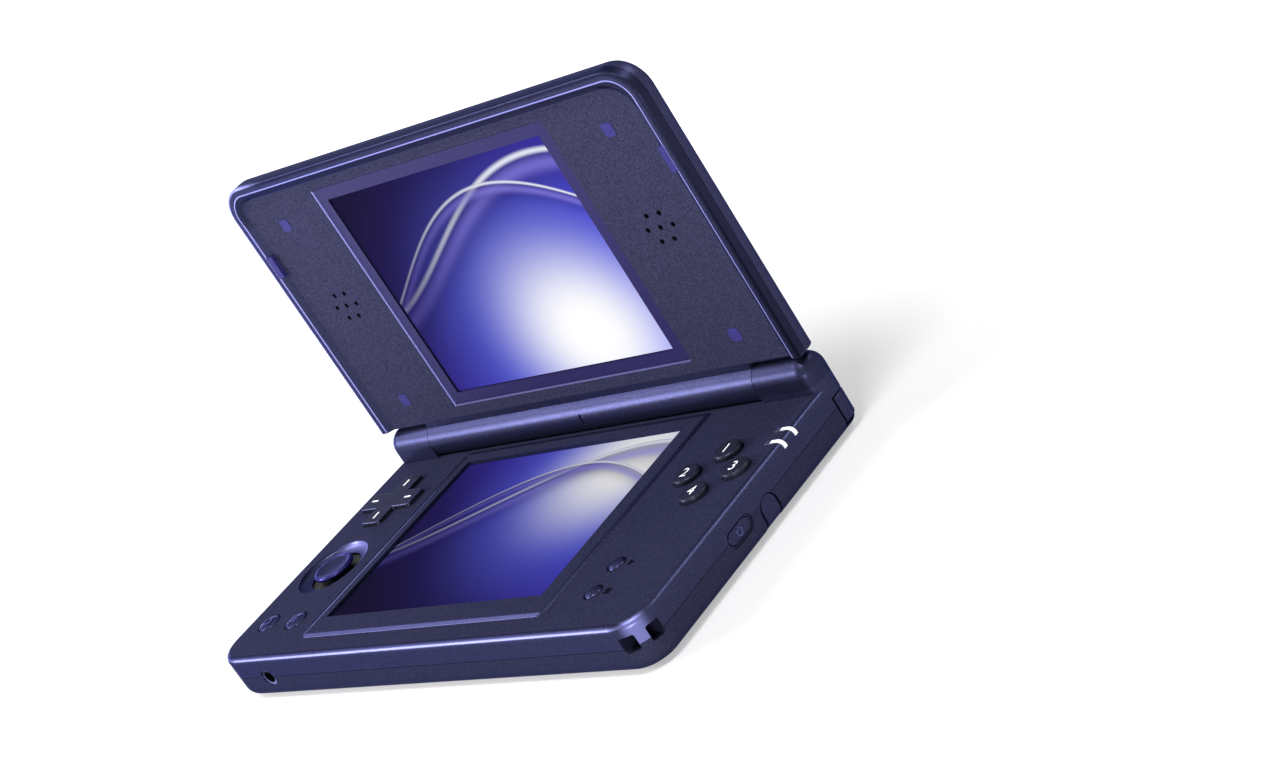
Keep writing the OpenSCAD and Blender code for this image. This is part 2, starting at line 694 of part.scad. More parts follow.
module latch_pad(gap) both_sides()
    block(76.1 - gap, 78.1 + gap, -66.7 - gap, -59.9 + gap, rim_z + 0.1 - 5 * gap, panel_z + 0.05);

module latch_pads() color([0.32, 0.3, 0.6]) lid_place() latch_pad(0);

module lid_screws() color([0.3, 0.3, 0.32]) lid_place() lid_screw_spots() {
    translate([0, 0, panel_back - 0.6]) cylinder(r = 1.5, h = 0.6);
    translate([0, 0, panel_back - 0.1]) cylinder(r = 0.75, h = 2.8);
}

module microphone() color([0.6, 0.6, 0.62]) lid_place()
    translate([0, -0.3, -3]) cylinder(r = 1.5, h = 1.8);

module lid_flex_cable() color([0.75, 0.5, 0.2]) lid_place() difference() {
    rod_x(12, 46, 0, 0, 2.9);
    rod_x(11, 47, 0, 0, 2.3);
}

module hinge_pin() lid_place() {
    rod_x(joint_x - 12, joint_x - end_gap, 0, 0, barrel_bore - 0.02);
    rod_x(joint_x - end_gap - eps, joint_x + pin_len, 0, 0, pin_r);
}

module hinge_pin_right() color([0.6, 0.6, 0.62]) hinge_pin();
module hinge_pin_left() color([0.6, 0.6, 0.62]) mirror([1, 0, 0]) hinge_pin();

// ---------------------------------------------------------------- controls

module direction_pad_pivot() color([0.3, 0.3, 0.32])
    translate([dpad_pos[0], dpad_pos[1], pivot_z]) sphere(r = pivot_r);

module direction_pad() color([0.22, 0.2, 0.24]) translate([dpad_pos[0], dpad_pos[1], 0])
    difference() {
        union() {
            translate([0, 0, dpad_z]) linear_extrude(dpad_top - dpad_z) dpad_outline(0);
            translate([0, 0, dpad_z]) linear_extrude(flange_t) dpad_outline(0.9);
        }
        translate([0, 0, pivot_z]) sphere(r = pivot_r + 0.05);
        translate([0, 0, dpad_top + 11.5]) sphere(r = 12);
        translate([0, 0, dpad_z - 1]) cylinder(r = pivot_r + 0.05, h = pivot_z - dpad_z + 1);
    }

module slide_pad_carriage() color([0.25, 0.25, 0.27]) translate([pad_pos[0], pad_pos[1], 0])
    difference() {
        union() {
            block(-5.5, 5.5, -7, 7, 9.1, 10.1);
            block(-5, 5, -1, 1, 8, 9.2);
        }
        block(-1.1, 1.1, -5.7, 5.7, 9, 11);
    }

module slide_pad() color([0.3, 0.28, 0.55]) translate([pad_pos[0], pad_pos[1], 0]) {
    difference() {
        union() {
            translate([0, 0, 10.45]) cylinder(r = 11.2, h = 0.95);
            translate([0, 0, 11]) cylinder(r = 4, h = cap_z - 10.9);
            translate([0, 0, cap_z]) cylinder(r = pad_r, h = pad_top - cap_z - 0.5);
            translate([0, 0, pad_top - 0.5]) cylinder(r1 = pad_r, r2 = pad_r - 0.5, h = 0.5);
        }
        translate([0, 0, pad_top + 21.4]) sphere(r = 21.9);
    }
    block(-1, 1, -3.5, 3.5, 9.25, 10.5);
}

module face_button(a) color([0.2, 0.2, 0.24])
    translate([face_pos[0] + face_spread * cos(a), face_pos[1] + face_spread * sin(a), 0])
        rotate_extrude() polygon([
            [0, key_z], [face_r + 0.8, key_z], [face_r + 0.8, key_z + flange_t],
            [face_r, key_z + flange_t], [face_r, face_top - 0.75], [face_r - 0.7, face_top],
            [0, face_top]]);

module button_east() face_button(0);
module button_north() face_button(90);
module button_west() face_button(180);
module button_south() face_button(270);

module domed_key(p, r, top, dome) color([0.22, 0.21, 0.4]) translate([p[0], p[1], 0]) {
    cylinder_h = top - key_z;
    translate([0, 0, key_z]) cylinder(r = r + 0.7, h = flange_t);
    intersection() {
        translate([0, 0, key_z]) cylinder(r = r, h = cylinder_h);
        translate([0, 0, top - dome]) sphere(r = dome);
    }
}

module start_button() domed_key(start_pos, start_r, start_top, 4);
module select_button() domed_key(select_pos, start_r, start_top, 4);
module menu_button_left() domed_key(menu_pos[0], menu_r, menu_top, 9);
module menu_button_right() domed_key(menu_pos[1], menu_r, menu_top, 9);

module power_button() color([0.22, 0.21, 0.4]) {
    side_stadium(half_w - wall - 1, half_w - 0.2, power_y, power_z, 8.5, 3.3);
    side_stadium(half_w - wall - 1.3, half_w - wall - 0.3, power_y, power_z, 9.9, 4.7);
}

module volume_rocker() color([0.22, 0.21, 0.4]) mirror([1, 0, 0]) {
    side_stadium(half_w - wall - 1.2, half_w + 0.2, volume_y, volume_z, 20, 4.4);
    side_stadium(half_w - wall - 1.3, half_w - wall - 0.5, volume_y, volume_z, 21.6, 5.6);
    block(half_w, half_w + 0.35, volume_y - 2.2, volume_y - 1.2, volume_z - 2, volume_z + 2);
    // round rib on which it rocks
    translate([rock_x, volume_y, volume_z - 1.5]) cylinder(r = rock_r, h = 2.6);
    block(rock_x, half_w - wall - 1, volume_y - 0.7, volume_y + 0.7, volume_z - 1.5, volume_z + 1.1);
}

module shoulder_button() {
    t = 3.2;
    difference() {
        union() {
            translate([0, 0, 0]) {
                translate([half_w, half_d - rear_r, 0]) strip(half_d - rear_r - 40.4) shoulder_section(t);
                translate([half_w - rear_r, half_d - rear_r, 0])
                    rotate_extrude(angle = 90) translate([rear_r, 0]) shoulder_section(t);
                translate([half_w - rear_r, half_d, 0]) rotate([0, 0, 90])
                    translate([0, half_w - rear_r - shoulder_x0, 0])
                        strip(half_w - rear_r - shoulder_x0) shoulder_section(t);
            }
            translate([shoulder_pivot[0], shoulder_pivot[1], shoulder_z[0]])
                cylinder(r = 2, h = shoulder_z[1] - shoulder_z[0]);
        }
        translate([shoulder_pivot[0], shoulder_pivot[1], 0]) cylinder(r = 1.06, h = 12);
    }
}

module shoulder_section(t) section(t, shoulder_z[0], shoulder_z[1], 0.6, 0.6);

module shoulder_button_right() color([0.22, 0.21, 0.4]) shoulder_button();
module shoulder_button_left() color([0.22, 0.21, 0.4]) mirror([1, 0, 0]) shoulder_button();

// ---------------------------------------------------------------- stylus, stored in its silo

module stylus_tube() color([0.8, 0.8, 0.8]) difference() {
    rod_x(tip_x0 + tip_len, head_x0 + 4, silo_y, silo_z, stylus_d / 2);
    // line of the ferrule
    difference() {
        rod_x(tip_x0 + tip_len + 3.5, tip_x0 + tip_len + 3.7, silo_y, silo_z, stylus_d);
        rod_x(tip_x0 + tip_len, head_x0, silo_y, silo_z, stylus_d / 2 - 0.1);
    }
}

module stylus_tip() color([0.08, 0.08, 0.08])
    translate([tip_x0 + tip_len, silo_y, silo_z]) rotate([0, -90, 0]) rotate_extrude() {
        square([tip_r, tip_len - tip_r]);
        translate([0, tip_len - tip_r]) quarter_disc(tip_r);
    }

module stylus_head() color([0.22, 0.21, 0.42]) difference() {
    union() {
        rod_x(head_x0, stylus_x1, silo_y, silo_z, 2.8);
        // fin that fills the notch down to the underside, its outer lower corner rounded
        translate([0, silo_y + 2.8, 0]) strip(5.6) {
            translate([head_x0 + 1.2, 0.3]) square([stylus_x1 - head_x0 - 4.2, silo_z]);
            translate([head_x0 + 1.2, 3.3]) square([stylus_x1 - head_x0 - 1.2, silo_z - 3.3]);
            translate([stylus_x1 - 3, 3.3]) circle(3);
        }
        block(head_x0 + 0.4, head_x0 + 2, silo_y - 2, silo_y + 2, 0.3, silo_z);
    }
    rod_x(head_x0 - 1, head_x0 + 4, silo_y, silo_z, stylus_d / 2 + eps);
    // finger slot in the boss
    block(head_x0 + 5, stylus_x1 - 1.2, silo_y - 0.5, silo_y + 0.5, silo_z + 1.2, silo_z + 4);
}

// ---------------------------------------------------------------- the parts by name

base_top_shell();
base_bottom_shell();
touch_panel();
lower_display_panel();
main_board();
battery();
face_button_mat();
direction_pad_mat();
start_select_mat();
menu_button_mat();
slide_pad_housing();
headphone_jack();
charge_port();
stylus_silo();
light_pipes();
status_leds();
case_screws();
shoulder_switches();
power_switch();
volume_switches();
lid_front_frame();
lid_rear_cover();
upper_screen_lens();
upper_display_panel();
speaker_left();
speaker_right();
lid_screw_pads();
latch_pads();
lid_screws();
microphone();
lid_flex_cable();
hinge_pin_left();
hinge_pin_right();
direction_pad_pivot();
direction_pad();
slide_pad_carriage();
slide_pad();
button_north();
button_east();
button_south();
button_west();
start_button();
select_button();
menu_button_left();
menu_button_right();
power_button();
volume_rocker();
shoulder_button_left();
shoulder_button_right();
stylus_tube();
stylus_head();
stylus_tip();
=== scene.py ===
import json
from math import cos, pi, radians, sin

import bmesh
import bpy
from mathutils import Matrix, Vector

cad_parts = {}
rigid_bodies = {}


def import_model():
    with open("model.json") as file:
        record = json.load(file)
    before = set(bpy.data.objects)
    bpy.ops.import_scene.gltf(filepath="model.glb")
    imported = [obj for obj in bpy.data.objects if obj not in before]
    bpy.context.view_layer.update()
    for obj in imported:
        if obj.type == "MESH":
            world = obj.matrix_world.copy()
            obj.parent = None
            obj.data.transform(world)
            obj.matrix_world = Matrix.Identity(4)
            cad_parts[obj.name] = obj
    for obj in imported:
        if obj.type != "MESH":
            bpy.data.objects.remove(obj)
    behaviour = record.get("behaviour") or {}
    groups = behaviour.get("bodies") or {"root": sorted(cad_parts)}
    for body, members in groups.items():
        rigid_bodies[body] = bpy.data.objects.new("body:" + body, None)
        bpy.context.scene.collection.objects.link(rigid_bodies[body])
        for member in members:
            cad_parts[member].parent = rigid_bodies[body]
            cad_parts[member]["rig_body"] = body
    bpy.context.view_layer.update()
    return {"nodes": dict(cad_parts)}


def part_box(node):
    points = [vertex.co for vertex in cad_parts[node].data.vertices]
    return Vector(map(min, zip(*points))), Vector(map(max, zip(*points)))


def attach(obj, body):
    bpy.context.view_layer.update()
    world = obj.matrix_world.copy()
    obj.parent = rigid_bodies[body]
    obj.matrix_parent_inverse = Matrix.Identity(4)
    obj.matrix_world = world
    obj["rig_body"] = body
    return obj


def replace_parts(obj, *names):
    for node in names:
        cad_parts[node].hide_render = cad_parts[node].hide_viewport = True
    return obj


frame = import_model()
nodes = frame["nodes"]
MM = 0.001

# Places on the case, in millimetres; a soft step is given by where it begins and where it ends
DECK_TOP = 13.3
SURROUND_TOP = 13.7
SURROUND_X = (-48.8, 45)
SURROUND_Y = (-39.8, 36.6)
SURROUND_ROLL = 1.5
SURROUND_SHADE = -44
KNUCKLE = (60, 15)
# Painted highlight on the strap corner: the middle of its arc, then soft steps across it and out
# along it
STRAP_CORNER = (71.5, -37.7)
STRAP_HALF, STRAP_REACH = (1.5, 6), (9, 12)
SOCKET_Z = 6.7
SOCKET_COLLAR = -46.2
LIGHT_BAR, LIT_LINE = 1.8, 1.2
LIT_FROM = 76.8

# The front roll: where it begins, the heights where its painted highlight band fades in and out,
# and those where the painted shade over it fades in
FRONT_ROLL = -44.9
BAND_IN, BAND_OUT = (12.3, 12.55), (12.8, 12.95)
BAND_SHADE = (12.95, 13.1)

# Keys and pads, in millimetres
FACE = (64.5, 9.4)
FACE_SPREAD = 8
FACE_TOP = 14.7
DPAD = (-65, 17.9)
DPAD_TOP = 14.4
DIMPLE_RADIUS, DIMPLE_FOOT = 3.6, 13
PAD = (-65, -9.5)
DISH_RADIUS, DISH_FOOT = (4.3, 4.9), 12.9
# The slide pad's bowl, and the radii over which the painted highlight on its far wall fades in
BOWL_RADIUS, BOWL_WALL = 10.9, (6.2, 10)
START, SELECT = (56.7, -22.6), (56.7, -32.5)
MENU = ((-70.6, -32), (-58.7, -32))
MENU_TOP = 13.95
# The small keys with their hole radii, and the widths where the painted shade round them fades out
SMALL_HOLES = ((START, 2.3), (SELECT, 2.3), (MENU[0], 3.2), (MENU[1], 3.2))
GAP_SHADE_WIDTH = (0.22, 0.6)
POWER = (80.3, -6.3, 7)
VOLUME = (-80.7, -5.25, 7.2)

# The lid as it stands at rest, in millimetres: a reach is measured out from the lines that join
# the middles of its corner arcs, a face or back is a Y, and a fade is the X or Z of a soft step
LID_FOOT = 23.7
LID_ARC = (71.5, 96.6)
PANEL_REACH, SLOPE_REACH = 4.5, 6.5
LIP_REACH = (6.4, 6.8)
FLANK_REACH, FLANK_FADE = (7.4, 8.2), (-74, -58)
ROLL_REACH, ROLL_FADE = 8.3, (-74, -60)
SLOPE_FADE = (90, 99)
LIP_FACE, ROLL_FACE = 38.7, 38.95
PANEL_FACE, PANEL_BACK, SLOPE_BACK = 39.2, 40.05, 40.5
SPEAKER = (61.46, 63.9)
SPEAKER_RING = 4.25
SOUND_MOUTH = (0.64, 0.82)
COVER_LINE, COVER_GAP = 0.5, 0.05

# The pictures on the displays: middle and size, in millimetres
UPPER = ((0, 62.75), (83.9, 63.5))
LOWER = ((-2.95, -0.3), (83.7, 63.8))
CLEAR_ALL_OVER = (120, 120)


# ---------------------------------------------------------------- finishes


def rgb(red, green, blue):
    """A colour given as it looks on screen, 0 to 255, as Blender's linear one."""
    linear = []
    for level in (red, green, blue):
        level /= 255
        linear.append(level / 12.92 if level <= 0.04045 else ((level + 0.055) / 1.055) ** 2.4)
    return (*linear, 1)


class Wire:
    """The output of a shader node; arithmetic on it adds Math nodes."""

    def __init__(self, finish, node, out):
        self.finish, self.made, self.socket = finish, node, node.outputs[out]

    def pick(self, out):
        """Another output of the same node."""
        return Wire(self.finish, self.made, out)

    def sum_of(self, operation, *values):
        """The result of one Math node."""
        return self.finish.add("ShaderNodeMath", {"operation": operation}, values)

    def __add__(self, other):
        return self.sum_of("ADD", self, other)

    def __radd__(self, other):
        return self.sum_of("ADD", other, self)

    def __sub__(self, other):
        return self.sum_of("SUBTRACT", self, other)

    def __rsub__(self, other):
        return self.sum_of("SUBTRACT", other, self)

    def __mul__(self, other):
        return self.sum_of("MULTIPLY", self, other)

    def __truediv__(self, other):
        return self.sum_of("DIVIDE", self, other)

    def __pow__(self, other):
        return self.sum_of("POWER", self, other)

    def __gt__(self, other):
        return self.sum_of("GREATER_THAN", self, other)

    def __lt__(self, other):
        return self.sum_of("LESS_THAN", self, other)

    def size(self):
        return self.sum_of("ABSOLUTE", self)

    def greatest(self, other):
        return self.sum_of("MAXIMUM", self, other)

    def wave(self):
        return self.sum_of("SINE", self)

    def ease(self, start, end, low=0.0, high=1.0):
        """Smooth step from low at start to high at end."""
        return self.finish.add("ShaderNodeMapRange", {"interpolation_type": "SMOOTHSTEP"},
                               [self, start, end, low, high])


class Finish:
    """One material, built node by node; the fixed values are set on its own shader."""

    def __init__(self, name, **fixed):
        self.material = bpy.data.materials.new(name)
        self.material.use_nodes = True
        self.tree = self.material.node_tree
        self.shader = self.tree.nodes["Principled BSDF"]
        for socket, value in fixed.items():
            self.shader.inputs[socket.replace("_", " ")].default_value = value

    def add(self, kind, settings=None, values=(), out=0):
        """A new node; values are wires or fixed numbers, by input."""
        node = self.tree.nodes.new(kind)
        for key, value in (settings or {}).items():
            if key == "stops":
                ramp = node.color_ramp.elements
                for place, colour in value[1:-1]:
                    ramp.new(place).color = colour
                for element, (place, colour) in ((ramp[0], value[0]), (ramp[-1], value[-1])):
                    element.position, element.color = place, colour
            else:
                setattr(node, key, value)
        pairs = values.items() if isinstance(values, dict) else enumerate(values)
        for key, value in pairs:
            if isinstance(value, Wire):
                self.tree.links.new(value.socket, node.inputs[key])
            else:
                node.inputs[key].default_value = value
        return Wire(self, node, out)

    def feed(self, **wires):
        """Links wires to the shader's inputs and returns the finished material."""
        for socket, wire in wires.items():
            self.tree.links.new(wire.socket, self.shader.inputs[socket.replace("_", " ")])
        return self.material

    def place(self):
        return self.add("ShaderNodeTexCoord", out="Object")

    def axes(self, vector):
        """The three parts of a vector."""
        split = self.add("ShaderNodeSeparateXYZ", None, [vector])
        return split, split.pick(1), split.pick(2)

    def millimetres(self):
        """X, Y and Z of a point on the piece, in millimetres."""
        return [part * (1 / MM) for part in self.axes(self.place())]

    def noise(self, grain_mm, detail, roughness=0.5, stretch=None):
        """Soft grain, 0 to 1."""
        where = self.place()
        if stretch:
            where = self.add("ShaderNodeMapping", None, {0: where, 3: stretch})
        return self.add("ShaderNodeTexNoise", None,
                        {"Vector": where, "Scale": 1 / (grain_mm * MM), "Detail": detail,
                         "Roughness": roughness})

    def flakes(self, size_mm):
        """Cells that each have one random value, 0 to 1."""
        cells = self.add("ShaderNodeTexVoronoi", None,
                         {"Vector": self.place(), "Scale": 1 / (size_mm * MM)}, out="Color")
        return self.axes(cells)[0]

    def blend(self, share, first, second):
        """The first colour where share is 0, the second where it is 1."""
        return self.add("ShaderNodeMix", {"data_type": "RGBA"}, {0: share, 6: first, 7: second}, 2)

    def relief(self, height, depth_mm, strength=1.0, over=None):
        """A bumped normal, laid over another one where that is given."""
        sockets = {"Height": height, "Distance": depth_mm * MM, "Strength": strength}
        if over:
            sockets["Normal"] = over
        return self.add("ShaderNodeBump", None, sockets)


# Colours of the paint, its painted highlight and painted shade, and its flake size in millimetres
SHEEN = (0.4, 0.42, 0.6, 1)
INDIGO, INDIGO_LIGHT = rgb(42, 43, 64), rgb(56, 57, 88)
PAINTED_HIGHLIGHT, SHADED = rgb(136, 138, 206), rgb(18, 18, 30)
BLACK = rgb(9, 9, 12)
FLAKE = 0.22


def fleck_of(f):
    """The metallic flecks in the paint, 0 to 1.2."""
    return f.flakes(FLAKE) * 0.6 + f.noise(FLAKE * 2.2, 3) * 0.6


def handled(f):
    """Unevenness of gloss left by handling, around 0."""
    return (f.noise(16, 3) - 0.5) * 0.05 + f.noise(3.5, 4).ease(0.45, 0.75) * 0.012


def satin(name, dark, light, metal, rough, relief_mm=0.002, sheen=SHEEN):
    """Indigo paint or plastic with a fine metallic fleck and the faint unevenness of handling."""
    f = Finish(name, Specular_IOR_Level=0.0, Specular_Tint=sheen)
    fleck = fleck_of(f)
    share = fleck.ease(0.08, 1.0)
    return f.feed(Base_Color=f.blend(share, dark, light), Metallic=share * 0.16 + (metal - 0.08),
                  Roughness=rough + handled(f) + (share - 0.5) * 0.03,
                  Normal=f.relief(fleck, relief_mm, 0.6))


def textured(name, flat_of, pale, paler, highlight_of, shaded_of, roll_of=None):
    """Satin paint on rolled edges and knuckles, spark-eroded texture where flat_of is 1."""
    f = Finish(name, Specular_IOR_Level=0.0, Specular_Tint=SHEEN)
    x, y, z = f.millimetres()
    flat = flat_of(x, y, z)
    fleck, stipple = fleck_of(f), f.noise(0.3, 3, 0.6)
    paint = f.blend(fleck.ease(0.08, 1.0), INDIGO, INDIGO_LIGHT)
    texture = f.blend(stipple.ease(0.3, 0.72), pale, paler)
    # Painted highlights lighten the colour and painted shade darkens it, each where its mask is 1
    wear_and_highlight = highlight_of(x, y, z)
    colour = f.blend(wear_and_highlight, f.blend(flat, paint, texture), PAINTED_HIGHLIGHT)
    rolled = f.relief(roll_of(x, y), 0.45) if roll_of else None
    return f.feed(Base_Color=f.blend(shaded_of(x, y, z), colour, SHADED),
                  Metallic=(0.7 - flat * 0.48) * (1 - wear_and_highlight * 0.65),
                  Roughness=0.34 + flat * 0.18 + handled(f),
                  Normal=f.relief(fleck * 0.07 + flat * stipple, 0.02, 0.7, rolled))


# Masks: from the X, Y and Z of a point in millimetres, a share from 0 to 1 or a distance


def length_of(across, up):
    """Length of the line with these two legs."""
    return (across * across + up * up) ** 0.5


def corner_reach(x, z):
    """Distance out from the lines joining the middles of the lid's far corner arcs."""
    return length_of((x.size() - LID_ARC[0]).greatest(0), (z - LID_ARC[1]).greatest(0))


def inner_panel(x, y, z):
    """The lid's flat inner panel."""
    return (corner_reach(x, z) < PANEL_REACH) * (y > PANEL_FACE) * (z > LID_FOOT)


def sound_holes(x, z):
    """The mouths of the seven holes over each speaker."""
    beside, above = x.size() - SPEAKER[0], z - SPEAKER[1]
    mouths = 0
    for hole in range(7):
        ring_radius = SPEAKER_RING if hole else 0
        across, up = ring_radius * cos(hole * pi / 3), ring_radius * sin(hole * pi / 3)
        away = length_of(beside - across, above - up)
        mouths = away.ease(*SOUND_MOUTH, 0.9, 0).greatest(mouths)
    return mouths


def lid_shaded(x, y, z):
    """Shade in the slope under the rim, on the rim's outer side and in the sound holes."""
    reach = corner_reach(x, z)
    slope = ((reach > PANEL_REACH) * (reach < SLOPE_REACH) * (y < SLOPE_BACK)
             * z.ease(*SLOPE_FADE, 0.15, 0.55))
    flank = reach.ease(*FLANK_REACH, 0, 0.6) * x.ease(*FLANK_FADE)
    inside = (reach < PANEL_REACH) * (y > PANEL_BACK) * 0.9
    shaded = slope.greatest(flank).greatest(inside).greatest(sound_holes(x, z))
    return shaded * (z > LID_FOOT)


def lid_highlights(x, y, z):
    """Painted highlights on the rim's left roll, on its lip and along the screen cover."""
    reach = corner_reach(x, z)
    roll = (reach > ROLL_REACH) * (y < ROLL_FACE) * x.ease(*ROLL_FADE, 1, 0)
    lip = (reach > LIP_REACH[0]) * (reach < LIP_REACH[1]) * (y < LIP_FACE)
    (left, _, low), (right, _, high) = [
        Vector(corner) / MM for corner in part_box("upper_screen_lens")]
    beside = (x > left - COVER_LINE) * (x < left - COVER_GAP) * (z > low - COVER_LINE) * (z < high)
    below = (z > low - COVER_LINE) * (z < low - COVER_GAP) * (x.size() < right) * 0.4
    return roll.greatest(lip).greatest(beside).greatest(below) * (z > LID_FOOT)


def deck_shaded(x, y, z):
    """Painted shade round the four small keys, on the right knuckle and over the front roll."""
    gap_shade = 0
    for (across, back), radius in SMALL_HOLES:
        away = length_of(x - across, y - back)
        near, far = (radius + width for width in GAP_SHADE_WIDTH)
        gap_shade = away.ease(near, far, 0.85, 0).greatest(gap_shade)
    knuckle = (x > KNUCKLE[0]) * (z > KNUCKLE[1]) * 0.3
    front = (y < FRONT_ROLL) * z.ease(*BAND_SHADE) * (z < DECK_TOP - 0.01) * 0.5
    return (gap_shade * (z > DECK_TOP - 0.8)).greatest(knuckle).greatest(front)


def deck_highlights(x, y, z):
    """Painted highlights on the strap corner, in the bowl behind the slide pad and along the front
    roll.
    """
    right, ahead = x - STRAP_CORNER[0], y - STRAP_CORNER[1]
    corner = ((right + ahead).size().ease(*STRAP_HALF, 0.55, 0)
              * (right - ahead).ease(*STRAP_REACH) * (z < DECK_TOP - 0.05))
    across, back = x - PAD[0], y - PAD[1]
    away = length_of(across, back)
    bowl = (away.ease(*BOWL_WALL) * (away < BOWL_RADIUS) * (z < DECK_TOP - 0.1)
            * ((back + across * 0.5) / away).ease(0.3, 1.0) * 0.45)
    front = (y < FRONT_ROLL) * z.ease(*BAND_IN) * z.ease(*BAND_OUT, 0.3, 0)
    return corner.greatest(bowl).greatest(front)


def outside_surround(x, y):
    """How far a point lies outside the raised surround of the lower screen."""
    (left, right), (ahead, behind) = SURROUND_X, SURROUND_Y
    return (left - x).greatest(x - right).greatest(ahead - y).greatest(y - behind)


def surround_roll(x, y):
    """Height of the surround's rolled edge, 1 on the surround and 0 on the deck."""
    return outside_surround(x, y).ease(-SURROUND_ROLL, 0, 1, 0)


def deck_flats(x, y, z):
    """The flat of the deck and the flat of the surround."""
    deck = (z - DECK_TOP).size() < 0.02
    surround = (z - SURROUND_TOP).size() < 0.02
    return deck + surround * (outside_surround(x, y) < -SURROUND_ROLL)


# Plainer finishes, and those of single pieces


def shade_of(colour, share, lift=0.0):
    """A colour scaled by share, with lift added, never over 1."""
    return tuple(min(1, c * share + lift) for c in colour[:3]) + (1,)


def rubber(name, colour, rough=0.7, grain_mm=0.25, shine=0.35):
    """Matt rubber or board lacquer with a fine, uneven grain."""
    f = Finish(name, Specular_IOR_Level=shine)
    grain = f.noise(grain_mm, 4)
    return f.feed(Base_Color=f.blend(grain.ease(0.3, 0.8), colour, shade_of(colour, 1.5, 0.004)),
                  Roughness=rough + (grain - 0.5) * 0.15, Normal=f.relief(grain, 0.01))


def moulded(name, colour, rough, shine=0.5):
    """Moulded plastic: nearly smooth, a shade uneven, polished where fingers rub."""
    f = Finish(name, Specular_IOR_Level=shine)
    grain = f.noise(0.3, 3)
    wear_and_highlight = f.noise(4, 3).ease(0.4, 0.7)
    return f.feed(Base_Color=f.blend(grain.ease(0.3, 0.75), colour, shade_of(colour, 1.22, 0.002)),
                  Roughness=rough + (grain - 0.5) * 0.1 - wear_and_highlight * 0.06,
                  Normal=f.relief(grain, 0.004))


def steel(name, colour, rough, stretch=(1, 1, 1), bands=0.25):
    """Drawn or plated metal with fine lines along the part."""
    f = Finish(name, Metallic=1.0)
    lines = f.noise(0.35, 4, 0.65, stretch)
    dull = f.noise(5, 3)
    return f.feed(Base_Color=f.blend(lines.ease(0.3, 0.7), shade_of(colour, 1 - bands), colour),
                  Roughness=rough + (lines - 0.5) * 0.16 + (dull - 0.5) * 0.08,
                  Normal=f.relief(lines, 0.004))


def socket_finish():
    """Black plastic whose collar, just inside the case wall, carries a painted highlight,
    strongest at its foot.
    """
    f = Finish("socket_plastic", Specular_IOR_Level=0.12)
    _, y, z = f.millimetres()
    rim = (y < SOCKET_COLLAR) * (z - SOCKET_Z).ease(-2, 1.6, 1, 0.1)
    return f.feed(Base_Color=f.blend(rim, BLACK, rgb(118, 120, 180)), Metallic=rim * 0.5,
                  Roughness=0.45 - rim * 0.15)


def slide_cap_finish():
    """The slide pad's cap: violet on its raised ring, darker and greyer in the dish."""
    f = Finish("slide_cap", Specular_IOR_Level=0.0, Specular_Tint=SHEEN)
    x, y, z = f.millimetres()
    away = length_of(x - PAD[0], y - PAD[1])
    dish = away.ease(*DISH_RADIUS, 1.0, 0.0) * (z > DISH_FOOT)
    fleck = fleck_of(f)
    share = fleck.ease(0.1, 1.0)
    violet = f.blend(share, rgb(43, 41, 83), rgb(64, 61, 120))
    grey = f.blend(share, rgb(40, 40, 59), rgb(60, 59, 86))
    return f.feed(Base_Color=f.blend(dish, violet, grey), Metallic=0.6 + share * 0.1,
                  Roughness=0.28 + dish * 0.1 + handled(f), Normal=f.relief(fleck, 0.004, 0.6))


def picture(name, area, upright, glow_at, tilt, power=1.0):
    """A lit display with a plain blue gradient, a soft glow and two light ribbons.

    area is its middle and size in millimetres; glow_at and tilt are shares of the size.
    """
    f = Finish(name, Roughness=0.3, Emission_Strength=power, Specular_IOR_Level=0.0)
    x, y, z = f.millimetres()
    middle, size = area
    across = (x - middle[0]) / size[0]
    up = ((z if upright else y) - middle[1]) / size[1]
    slope = across * tilt[0] + up * tilt[1] + 0.5
    base = f.add("ShaderNodeValToRGB", {"stops": [
        (0.0, rgb(26, 20, 52)), (0.3, rgb(38, 29, 94)), (0.6, rgb(58, 46, 160)),
        (0.85, rgb(60, 52, 200)), (1.0, rgb(84, 78, 228))]}, [slope])
    away = length_of(across - glow_at[0], (up - glow_at[1]) * 0.8)
    near = away.ease(0.06, 0.6, 1.0, 0.0)
    lit = f.blend(away.ease(0.2, 0.8, 0.6, 0.0), base, rgb(96, 112, 240))
    lit = f.blend(near * near, lit, (1, 1, 1, 1))
    for shift, swing, phase, width in ((0.16, 0.3, 0.5, 0.13), (0.02, 0.36, 1.2, 0.07)):
        above = up - ((across * 2.7 + phase).wave() * swing + shift)
        fold = above.ease(-width * 2.2, -width * 0.2) * (above < 0)
        sheen = (above + width * 0.55).size().ease(0, width * 0.6, 1.0, 0.0)
        edge = (above + width * 0.1).size().ease(0, width * 0.16, 1.0, 0.0)
        bright = across.ease(-0.5, 0.35, 0.25, 1.0)
        lit = f.blend(fold * fold * 0.6, lit, rgb(30, 18, 92))
        lit = f.blend(sheen * sheen * bright * 0.5, lit, rgb(150, 140, 245))
        lit = f.blend(edge * bright * 0.9, lit, (0.86, 0.88, 1, 1))
    return f.feed(Emission_Color=lit, Base_Color=f.blend(near, rgb(6, 6, 14), rgb(8, 8, 16)))


def window(name, border, area, upright):
    """Clear screen cover: see-through over its area, with a printed border round it."""
    f = Finish(name, Specular_IOR_Level=0.1, Specular_Tint=SHEEN)
    x, y, z = f.millimetres()
    middle, size = area
    side = (x - middle[0]).size()
    rise = ((z if upright else y) - middle[1]).size()
    edge = (side > size[0] / 2).greatest(rise > size[1] / 2)
    film = f.noise(0.5, 3)
    printed = f.blend(film.ease(0.3, 0.7), border, shade_of(border, 1.25))
    return f.feed(Base_Color=f.blend(edge, (0.95, 0.95, 1, 1), printed),
                  Metallic=1 - edge * 0.75,
                  Roughness=edge * 0.35 + 0.07 + (film - 0.5) * 0.02,
                  Alpha=edge)


